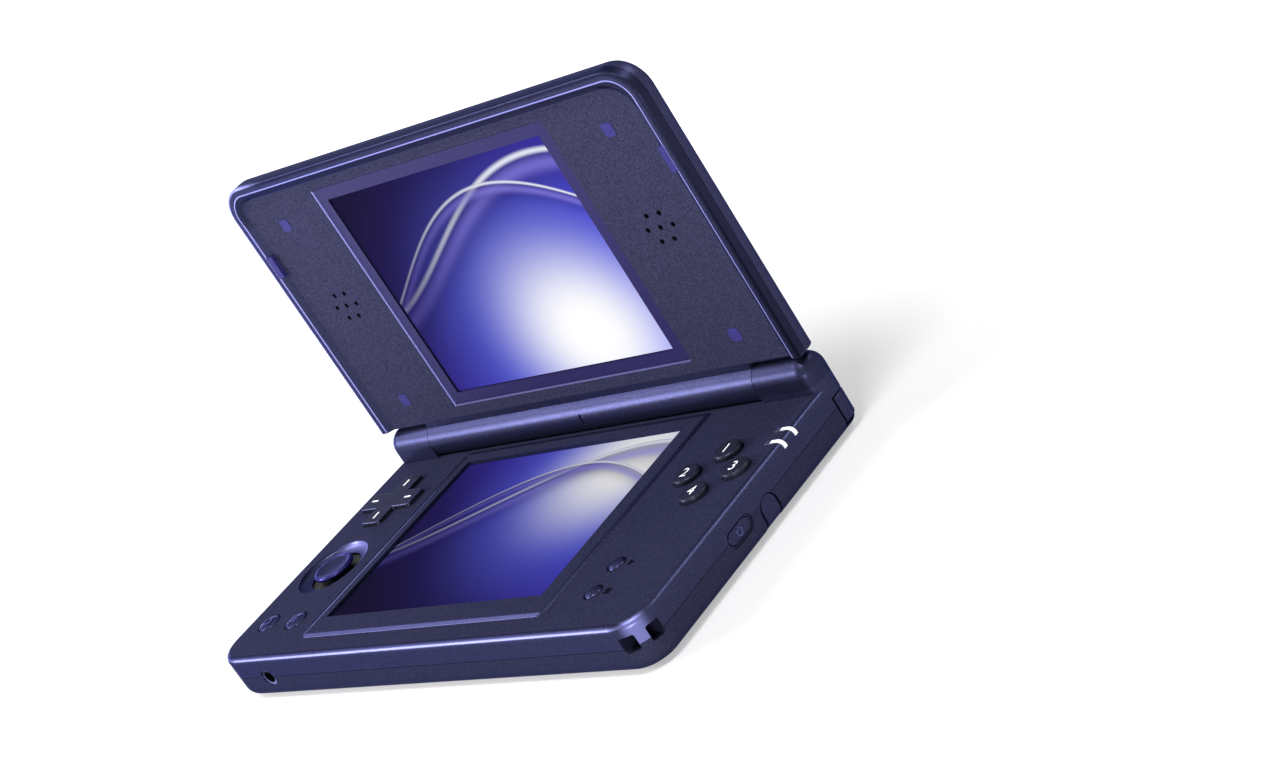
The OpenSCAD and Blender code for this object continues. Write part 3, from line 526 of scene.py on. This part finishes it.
def light_bar_finish():
    """Milky bars, lit on the case's outer side and painted over on the deck."""
    f = Finish("light_pipe", Emission_Strength=0.35, Roughness=0.35)
    frost = f.blend(f.noise(0.4, 3), rgb(228, 228, 236), rgb(250, 250, 255))
    x, y, _ = f.millimetres()
    (_, first, _), (_, last, _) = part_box("light_pipes")
    ahead, behind = first / MM + LIGHT_BAR / 2, last / MM - LIGHT_BAR / 2
    lines = ((y - ahead).size() < LIT_LINE / 2) + ((y - behind).size() < LIT_LINE / 2)
    lit = lines * (x > LIT_FROM)
    return f.feed(Base_Color=f.blend(lit, rgb(50, 51, 76), frost),
                  Emission_Color=f.blend(lit, (0, 0, 0, 1), frost))


def white_ink_with_glow():
    """White print, faintly dusty, with a faint painted glow."""
    f = Finish("white_print", Emission_Strength=0.25, Roughness=0.5, Specular_IOR_Level=0.2)
    dusty = f.noise(0.2, 3).ease(0.3, 0.7)
    return f.feed(Base_Color=f.blend(dusty, rgb(235, 235, 242), rgb(250, 250, 255)),
                  Emission_Color=f.blend(dusty, rgb(240, 240, 250), rgb(255, 255, 255)))


finishes = {
    "case_paint": satin("case_paint", INDIGO, INDIGO_LIGHT, 0.7, 0.33),
    "case_lower": satin("case_lower", rgb(39, 40, 57), rgb(53, 54, 80), 0.55, 0.38),
    "lid_panel": textured("lid_panel", inner_panel, rgb(38, 38, 58), rgb(64, 64, 92),
                          lid_highlights, lid_shaded),
    "lid_cover": satin("lid_cover", rgb(43, 43, 65), rgb(57, 57, 88), 0.55, 0.36),
    "screen_glass": window("screen_glass", rgb(42, 38, 80), UPPER, True),
    "display": picture("display", LOWER, False, (0.36, 0.34), (0.75, 0.55), 0.72),
    "board": rubber("board", rgb(24, 62, 44), 0.45),
    "battery_foil": steel("battery_foil", rgb(150, 152, 158), 0.35),
    "mat_rubber": rubber("mat_rubber", rgb(58, 58, 66)),
    "black_plastic": moulded("black_plastic", BLACK, 0.45, 0.12),
    "port_steel": steel("port_steel", rgb(170, 172, 178), 0.22),
    "dark_steel": steel("dark_steel", rgb(70, 70, 78), 0.3),
    "flex": moulded("flex", rgb(150, 92, 40), 0.4),
    "pad_rubber": rubber("pad_rubber", rgb(50, 46, 104), 0.6, 0.4, 0.04),
    "key_dark": satin("key_dark", rgb(36, 37, 49), rgb(54, 55, 71), 0.5, 0.3, 0.003,
                      (0.42, 0.43, 0.54, 1)),
    "key_indigo": satin("key_indigo", rgb(36, 36, 54), rgb(58, 59, 92), 0.6, 0.28),
    "slide_cap": slide_cap_finish(),
    "stylus_metal": steel("stylus_metal", rgb(200, 200, 205), 0.2, (0.05, 1, 1), 0.12),
    "stylus_nib": moulded("stylus_nib", rgb(14, 14, 15), 0.35),
    "light_pipe": light_bar_finish(),
}
case_top = textured("case_top", deck_flats, rgb(34, 35, 53), rgb(54, 55, 82),
                    deck_highlights, deck_shaded, surround_roll)
# Lighter finishes for rounded edges, painted highlights: dim on the direction pad, bright on the
# shells
key_edge = satin("key_edge", rgb(56, 57, 80), rgb(90, 92, 128), 0.5, 0.3)
painted_edge_highlight = satin("painted_edge_highlight", rgb(84, 86, 140), rgb(128, 130, 200), 0.5, 0.3)
touch_cover = window("touch_cover", rgb(60, 60, 110), (LOWER[0], CLEAR_ALL_OVER), False)
upper_picture = picture("upper_picture", UPPER, True, (0.22, -0.36), (0.62, -0.5))
white_print = white_ink_with_glow()
dark_print = satin("dark_print", rgb(12, 12, 20), rgb(20, 20, 32), 0.2, 0.5)
# Raised marks on the menu and power keys, painted lighter than their keys as a highlight
highlit_mark = satin("highlit_mark", rgb(60, 61, 96), rgb(96, 98, 152), 0.55, 0.3)


# ---------------------------------------------------------------- shapes


def settle(name, bm, body, slot, finish=None, sharp=35):
    """Makes a piece of a bmesh that is already in place, and sets it on its body."""
    mesh = bpy.data.meshes.new(name)
    bm.to_mesh(mesh)
    bm.free()
    mesh.materials.append(finish or finishes[slot])
    mesh.polygons.foreach_set("use_smooth", [True] * len(mesh.polygons))
    mesh.set_sharp_from_angle(angle=radians(sharp))
    piece = bpy.data.objects.new(name, mesh)
    bpy.context.scene.collection.objects.link(piece)
    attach(piece, body)
    return piece


def move(bm, x, y, z):
    bmesh.ops.translate(bm, verts=bm.verts, vec=(x, y, z))


def turn(bm, angle, axis):
    bmesh.ops.rotate(bm, verts=bm.verts, cent=(0, 0, 0), matrix=Matrix.Rotation(angle, 3, axis))


def soften(bm, edges, width, segments):
    """Rounds edges and returns the new faces."""
    made = bmesh.ops.bevel(bm, geom=edges, offset=width, offset_type="OFFSET", segments=segments,
                           profile=0.5, affect="EDGES", material=-1, clamp_overlap=True)
    return made["faces"]


def lathe(profile):
    """A closed solid of revolution about Z from a profile of radius and height in metres."""
    bm = bmesh.new()
    verts = [bm.verts.new((r, 0, z)) for r, z in profile]
    edges = [bm.edges.new(pair) for pair in zip(verts, verts[1:])]
    bmesh.ops.spin(bm, geom=verts + edges, cent=(0, 0, 0), axis=(0, 0, 1), dvec=(0, 0, 0),
                   angle=2 * pi, steps=96, use_merge=True, use_duplicate=False)
    bmesh.ops.remove_doubles(bm, verts=bm.verts, dist=1e-7)
    bmesh.ops.recalc_face_normals(bm, faces=bm.faces)
    return bm


def bar(length, width, height, round_off=0.0):
    """A bar centred on the origin, its upright edges rounded by round_off."""
    bm = bmesh.new()
    bmesh.ops.create_cube(bm, size=1)
    bmesh.ops.scale(bm, verts=bm.verts, vec=(length, width, height))
    if round_off:
        soften(bm, [e for e in bm.edges if abs((e.verts[0].co - e.verts[1].co).z) > height / 2],
               round_off, 3)
    return bm


def lay_text(text, height, thick):
    """Raised numerals lying flat, centred on the origin."""
    curve = bpy.data.curves.new("numeral", "FONT")
    curve.body = text
    curve.size = height
    curve.extrude = thick / 2
    curve.offset = height * -0.006
    curve.align_x = "CENTER"
    curve.align_y = "CENTER"
    maker = bpy.data.objects.new("numeral", curve)
    bpy.context.scene.collection.objects.link(maker)
    bpy.context.view_layer.update()
    flat = bpy.data.meshes.new_from_object(maker.evaluated_get(
        bpy.context.evaluated_depsgraph_get()))
    bpy.data.objects.remove(maker)
    bm = bmesh.new()
    bm.from_mesh(flat)
    bpy.data.meshes.remove(flat)
    bmesh.ops.remove_doubles(bm, verts=bm.verts, dist=1e-8)
    low = Vector(map(min, zip(*[v.co for v in bm.verts])))
    high = Vector(map(max, zip(*[v.co for v in bm.verts])))
    move(bm, *(-(low + high) / 2))
    return bm


def ring(radius, width, height, sweep=2 * pi, start=0.0):
    """A flat ring, or part of one, round the origin."""
    bm = bmesh.new()
    bmesh.ops.create_grid(bm, x_segments=1, y_segments=1, size=0.5)
    bmesh.ops.scale(bm, verts=bm.verts, vec=(width, height, 1))
    turn(bm, pi / 2, "X")
    move(bm, radius, 0, 0)
    closed = sweep == 2 * pi
    bmesh.ops.spin(bm, geom=list(bm.faces), cent=(0, 0, 0), axis=(0, 0, 1), dvec=(0, 0, 0),
                   angle=sweep, steps=32, use_merge=closed, use_duplicate=False)
    if closed:
        start_faces = [f for f in bm.faces if abs(f.normal.y) > 0.999
                       and abs(f.calc_center_median().y) < 1e-9 and f.calc_center_median().x > 0]
        bmesh.ops.delete(bm, geom=start_faces, context="FACES_ONLY")
    bmesh.ops.remove_doubles(bm, verts=bm.verts, dist=1e-8)
    bmesh.ops.recalc_face_normals(bm, faces=bm.faces)
    turn(bm, start, "Z")
    return bm


def mark(name, bm, body, place, finish, side=0):
    """Sets a mark on a body, its origin at place; side turns it to face left (-1) or right (1)."""
    turn(bm, side * pi / 2, "Y")
    move(bm, *(Vector(place) * MM))
    settle(name, bm, body, "key_dark", finish)


def triangle(radius, height):
    """A triangular plate centred on the origin, pointing to the right."""
    bm = bmesh.new()
    bmesh.ops.create_cone(bm, cap_ends=True, segments=3, radius1=radius, radius2=radius,
                          depth=height)
    turn(bm, -pi / 2, "Z")
    return bm


def slot_of(node):
    """The record's material slot of a carried-over solid."""
    return nodes[node].material_slots[0].material.name.split(".")[0]


# Edges sharper than this are rounded, those on a crest with a wider rounding
SHARP = radians(38)
CREST_ROUND = 0.34


def dress(node, name, edge, finish=None, lit_edge_finish=None, crest=None, filled=None, shortest=0.0):
    """A smooth-shaded copy of a carried-over solid, its sharp edges rounded, in millimetres.

    edge is the width of the rounding, which takes a lighter finish, a painted highlight, where
    one is given; crest the height of edges that are rounded wider, filled the place of a dimple
    that is closed, shortest the shortest edge rounded.
    """
    source = nodes[node]
    bm = bmesh.new()
    bm.from_mesh(source.data)
    bmesh.ops.remove_doubles(bm, verts=bm.verts, dist=2e-6)
    for v in bm.verts:
        near = filled and (v.co.xy - Vector(filled) * MM).length < DIMPLE_RADIUS * MM
        if near and v.co.z > DIMPLE_FOOT * MM:
            v.co.z = DPAD_TOP * MM
    bmesh.ops.dissolve_limit(bm, angle_limit=radians(0.6), verts=bm.verts, edges=bm.edges)

    def on_crest(e):
        return bool(crest) and all(abs(v.co.z - crest * MM) < 2e-6 for v in e.verts)

    # The rounding takes the lighter edge finish, a painted highlight, except on the surround's
    # left side, which lies in shade
    for width, steps, crowned in ((edge, 2, False), (CREST_ROUND, 3, True)):
        picked = [e for e in bm.edges if len(e.link_faces) == 2 and on_crest(e) == crowned
                  and e.calc_face_angle(0) > SHARP and e.calc_length() > shortest * MM]
        if edge and picked:
            for face in soften(bm, picked, width * MM, steps):
                shaded = crowned and face.calc_center_median().x < SURROUND_SHADE * MM
                face.material_index = 1 if lit_edge_finish and not shaded else 0
    piece = settle(name, bm, source["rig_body"], slot_of(node), finish, 60)
    if lit_edge_finish:
        piece.data.materials.append(lit_edge_finish)
    even = piece.modifiers.new("even_shading", "WEIGHTED_NORMAL")
    even.mode, even.weight, even.keep_sharp = "FACE_AREA", 80, True
    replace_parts(piece, node)


# ---------------------------------------------------------------- finishes for the solids

for node, source in nodes.items():
    for slot in source.material_slots:
        kind = slot.material.name.split(".")[0] if slot.material else ""
        if kind in finishes:
            slot.material = finishes[kind]
for node, finish in (("touch_panel", touch_cover), ("upper_display_panel", upper_picture),
                     ("headphone_jack", socket_finish()),
                     ("microphone", finishes["black_plastic"])):
    nodes[node].material_slots[0].material = finish


# ---------------------------------------------------------------- pieces

# Carried-over solids with eased edges; on the shells and the direction pad the rounding is painted
# lighter as a highlight
dress("base_top_shell", "top_shell", 0.12, case_top, painted_edge_highlight, crest=SURROUND_TOP)
dress("base_bottom_shell", "bottom_shell", 0.1, lit_edge_finish=painted_edge_highlight)
dress("lid_front_frame", "lid_inner", 0.28, lit_edge_finish=painted_edge_highlight, shortest=0.4)
dress("lid_rear_cover", "lid_outer", 0.12, lit_edge_finish=painted_edge_highlight)
dress("upper_screen_lens", "screen_cover", 0.15)
dress("direction_pad", "cross_key", 0.3, lit_edge_finish=key_edge, filled=DPAD)
for node, name, edge in (
        ("start_button", "start_key", 0.35), ("select_button", "select_key", 0.35),
        ("menu_button_left", "menu_key_left", 0.25), ("menu_button_right", "menu_key_right", 0.25),
        ("power_button", "power_key", 0.25), ("volume_rocker", "volume_key", 0.2),
        ("shoulder_button_left", "shoulder_key_left", 0.15),
        ("shoulder_button_right", "shoulder_key_right", 0.15),
        ("stylus_head", "stylus_grip", 0.25), ("light_pipes", "glow_bars", 0.1),
        ("stylus_tube", "stylus_shaft", 0.08), ("stylus_tip", "stylus_nib", 0)):
    dress(node, name, edge)

# Round keys of the diamond, with a raised numeral on each
KEY_RADIUS, KEY_ROUND, KEY_FOOT = 3.85, 0.7, 10.6
COLLAR_RADIUS, COLLAR_TOP, EASE = 4.65, 11.4, 0.05
SHOULDER = [(KEY_RADIUS - KEY_ROUND + KEY_ROUND * cos(step * pi / 12),
             FACE_TOP - KEY_ROUND + KEY_ROUND * sin(step * pi / 12)) for step in range(7)]
KEY_OUTLINE = [(0, KEY_FOOT), (COLLAR_RADIUS - EASE, KEY_FOOT), (COLLAR_RADIUS, KEY_FOOT + EASE),
               (COLLAR_RADIUS, COLLAR_TOP - EASE), (COLLAR_RADIUS - EASE, COLLAR_TOP),
               (KEY_RADIUS + 0.02, COLLAR_TOP), (KEY_RADIUS, COLLAR_TOP + 0.02), *SHOULDER,
               (2, FACE_TOP), (0, FACE_TOP)]
PRINT_GAP = 0.01
NUMERAL_SIZE, NUMERAL_DEPTH = 4.7, 0.06
DIAMOND = {"north": (0, 1, "1"), "west": (-1, 0, "2"),
           "east": (1, 0, "3"), "south": (0, -1, "4")}
for side, (east, north, numeral) in DIAMOND.items():
    body = "button_" + side
    x, y = FACE[0] + FACE_SPREAD * east, FACE[1] + FACE_SPREAD * north
    bm = lathe([(r * MM, z * MM) for r, z in KEY_OUTLINE])
    move(bm, x * MM, y * MM, 0)
    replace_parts(settle("key_" + side, bm, body, "key_dark"), body)
    bm = lay_text(numeral, NUMERAL_SIZE * MM, NUMERAL_DEPTH * MM)
    move(bm, x * MM, y * MM, (FACE_TOP + PRINT_GAP) * MM)
    settle("numeral_" + numeral, bm, body, "key_dark", white_print)

# Dashes on the arms of the direction pad
DASH_LENGTH, DASH_WIDTH, DASH_DEPTH, DASH_ROUND = 2.7, 0.6, 0.08, 0.2
DASH_REACH = 7.1
for arm in range(4):
    bm = bar(DASH_LENGTH * MM, DASH_WIDTH * MM, DASH_DEPTH * MM, DASH_ROUND * MM)
    move(bm, DASH_REACH * MM, 0, (DPAD_TOP + PRINT_GAP) * MM)
    turn(bm, arm * pi / 2, "Z")
    move(bm, DPAD[0] * MM, DPAD[1] * MM, 0)
    settle(f"direction_dash_{arm + 1}", bm, "direction_pad", "key_dark", white_print)

# Slide pad: the black disc that closes its bowl, and a dished cap with a raised ring
PAD_DISC = [(0, 10.45), (11.1, 10.45), (11.2, 10.55), (11.2, 10.95), (10.6, 11.15), (8.2, 11.2),
            (5.2, 11.22), (4.4, 11.35), (4.05, 11.7), (4.0, 12.3), (0, 12.3)]
PAD_CAP = [(0, 12.2), (5.0, 12.2), (5.5, 12.27), (5.8, 12.5), (5.9, 12.8), (5.88, 13.2),
           (5.75, 13.5), (5.5, 13.66), (5.2, 13.7), (4.9, 13.64), (4.7, 13.5), (4.5, 13.4),
           (3.9, 13.28), (2.5, 13.14), (1.2, 13.09), (0, 13.08)]
for name, outline, slot in (("slide_pad_disc", PAD_DISC, "black_plastic"),
                            ("slide_pad_cap", PAD_CAP, "slide_cap")):
    bm = lathe([(r * MM, z * MM) for r, z in outline])
    move(bm, PAD[0] * MM, PAD[1] * MM, 0)
    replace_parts(settle(name, bm, "slide_pad", slot, None, 50), "slide_pad")

# Marks: thin shapes, half sunk in the deck beside the start and select keys and in the faces of
# the menu, power and volume keys
PRINTED, FINE, RAISED = 0.06 * MM, 0.08 * MM, 0.2 * MM
LABEL_GAP, MENU_BAR_STEP = 4.8, 1
mark("start_mark", triangle(1.35 * MM, PRINTED), "base",
     (START[0] + LABEL_GAP, START[1], DECK_TOP), dark_print)
mark("select_mark", bar(2 * MM, 2 * MM, PRINTED), "base",
     (SELECT[0] + LABEL_GAP, SELECT[1], DECK_TOP), dark_print)
mark("menu_ring", ring(1.25 * MM, 0.5 * MM, RAISED), "menu_button_left",
     (*MENU[0], MENU_TOP), highlit_mark)
for shift, label in ((-MENU_BAR_STEP, "low"), (0, "middle"), (MENU_BAR_STEP, "high")):
    mark("menu_bar_" + label, bar(2.6 * MM, 0.5 * MM, RAISED), "menu_button_right",
         (MENU[1][0], MENU[1][1] + shift, MENU_TOP), highlit_mark)
mark("power_ring", ring(0.95 * MM, 0.3 * MM, FINE, 1.6 * pi, -0.8 * pi), "power_button",
     POWER, highlit_mark, 1)
bm = bar(0.9 * MM, 0.22 * MM, FINE)
move(bm, -0.75 * MM, 0, 0)
mark("power_bar", bm, "power_button", POWER, highlit_mark, 1)
SIGN_LENGTH, SIGN_WIDTH, SIGN_REACH = 1.6 * MM, 0.36 * MM, 7
for name, high, wide, shift in (("plus_across", SIGN_LENGTH, SIGN_WIDTH, SIGN_REACH),
                                ("plus_upright", SIGN_WIDTH, SIGN_LENGTH, SIGN_REACH),
                                ("minus", SIGN_WIDTH, SIGN_LENGTH, -SIGN_REACH)):
    mark("volume_" + name, bar(high, wide, FINE), "volume_rocker",
         (VOLUME[0], VOLUME[1] + shift, VOLUME[2]), dark_print, -1)


# ---------------------------------------------------------------- stage, lamps and camera


def lamp(name, place, aim, size, power):
    """A rectangular lamp at a place in metres, turned to its aim."""
    data = bpy.data.lights.new(name, "AREA")
    data.shape = "RECTANGLE"
    data.size, data.size_y = size
    data.energy = power
    made = bpy.data.objects.new(name, data)
    bpy.context.scene.collection.objects.link(made)
    made.location = place
    made.rotation_mode = "QUATERNION"
    made.rotation_quaternion = (Vector(aim) - Vector(place)).to_track_quat("-Z", "Y")


def light_path(tree):
    """1 on the rays that show the background: from the camera, mirrored or let through."""
    path = tree.nodes.new("ShaderNodeLightPath")
    first = tree.nodes.new("ShaderNodeMath")
    first.operation = "MAXIMUM"
    tree.links.new(path.outputs["Is Camera Ray"], first.inputs[0])
    tree.links.new(path.outputs["Is Glossy Ray"], first.inputs[1])
    both = tree.nodes.new("ShaderNodeMath")
    both.operation = "MAXIMUM"
    tree.links.new(first.outputs[0], both.inputs[0])
    tree.links.new(path.outputs["Is Transmission Ray"], both.inputs[1])
    return both.outputs[0]


world = bpy.data.worlds.new("studio")
bpy.context.scene.world = world
world.use_nodes = True
sky = world.node_tree.nodes["Background"]
sky.inputs["Color"].default_value = (1, 1, 1, 1)
seen = light_path(world.node_tree)
level = world.node_tree.nodes.new("ShaderNodeMapRange")
level.inputs["To Min"].default_value = 0.12
level.inputs["To Max"].default_value = 1.0
world.node_tree.links.new(seen, level.inputs[0])
world.node_tree.links.new(level.outputs[0], sky.inputs["Strength"])

lamp("key", (-0.66, -0.53, 0.346), (0, 0, 0.04), (0.28, 0.24), 7.0)
lamp("left", (-0.62, -0.16, 0.56), (0, 0, 0.04), (0.4, 0.3), 3.2)
lamp("top", (0.15, -0.28, 0.85), (0, 0, 0.05), (0.25, 0.25), 5.0)
lamp("rear", (0.35, 0.56, 0.7), (0, 0, 0.03), (0.3, 0.2), 2.3)
lamp("front", (0.3, -0.4, 0.03), (0.06, -0.03, 0.01), (0.08, 0.05), 0.8)
lamp("card", (-0.28, 0.07, 0.012), (0, 0.03, 0.09), (0.22, 0.1), 0.45)

# The floor: a little darker and unlit under the console, shining white further out
FLOOR_HALF = 4
FLOOR_GAP = 0.6
FLOOR_FADE = (100, 340)
bm = bmesh.new()
bmesh.ops.create_grid(bm, x_segments=1, y_segments=1, size=FLOOR_HALF)
move(bm, 0, 0, -FLOOR_GAP * MM)
floor_mesh = bpy.data.meshes.new("floor")
bm.to_mesh(floor_mesh)
bm.free()
floor = bpy.data.objects.new("floor", floor_mesh)
bpy.context.scene.collection.objects.link(floor)
pale = Finish("floor", Roughness=0.9, Specular_IOR_Level=0.1, Emission_Strength=1.0)
across, back, _ = pale.millimetres()
far = length_of(across, back).ease(*FLOOR_FADE, 0.42, 1.0)
pale.feed(Base_Color=pale.blend(far, (0.62, 0.62, 0.63, 1), (0.5, 0.5, 0.51, 1)),
          Emission_Color=pale.blend(far, (0, 0, 0, 1), (1, 1, 1, 1)))
floor_mesh.materials.append(pale.material)

# The camera: its focal length and image width in pixels, its place in metres and its axes
FOCAL_PX, IMAGE_PX = 2485.93, 1280
CAMERA = (0.472705, -0.337762, 0.237052)
LOOK, RISE = (-0.719214, 0.603362, -0.344508), (0.125035, 0.600149, 0.790055)
camera_data = bpy.data.cameras.new("camera")
camera_data.sensor_width = 36
camera_data.lens = FOCAL_PX / IMAGE_PX * 36
camera_data.clip_start, camera_data.clip_end = 0.01, 50
camera = bpy.data.objects.new("camera", camera_data)
bpy.context.scene.collection.objects.link(camera)
look = Vector(LOOK).normalized()
right = look.cross(Vector(RISE)).normalized()
turned = Matrix((right, right.cross(look), -look)).transposed()
camera.matrix_world = Matrix.Translation(CAMERA) @ turned.to_4x4()
bpy.context.scene.camera = camera
bpy.context.scene.view_settings.view_transform = "Standard"
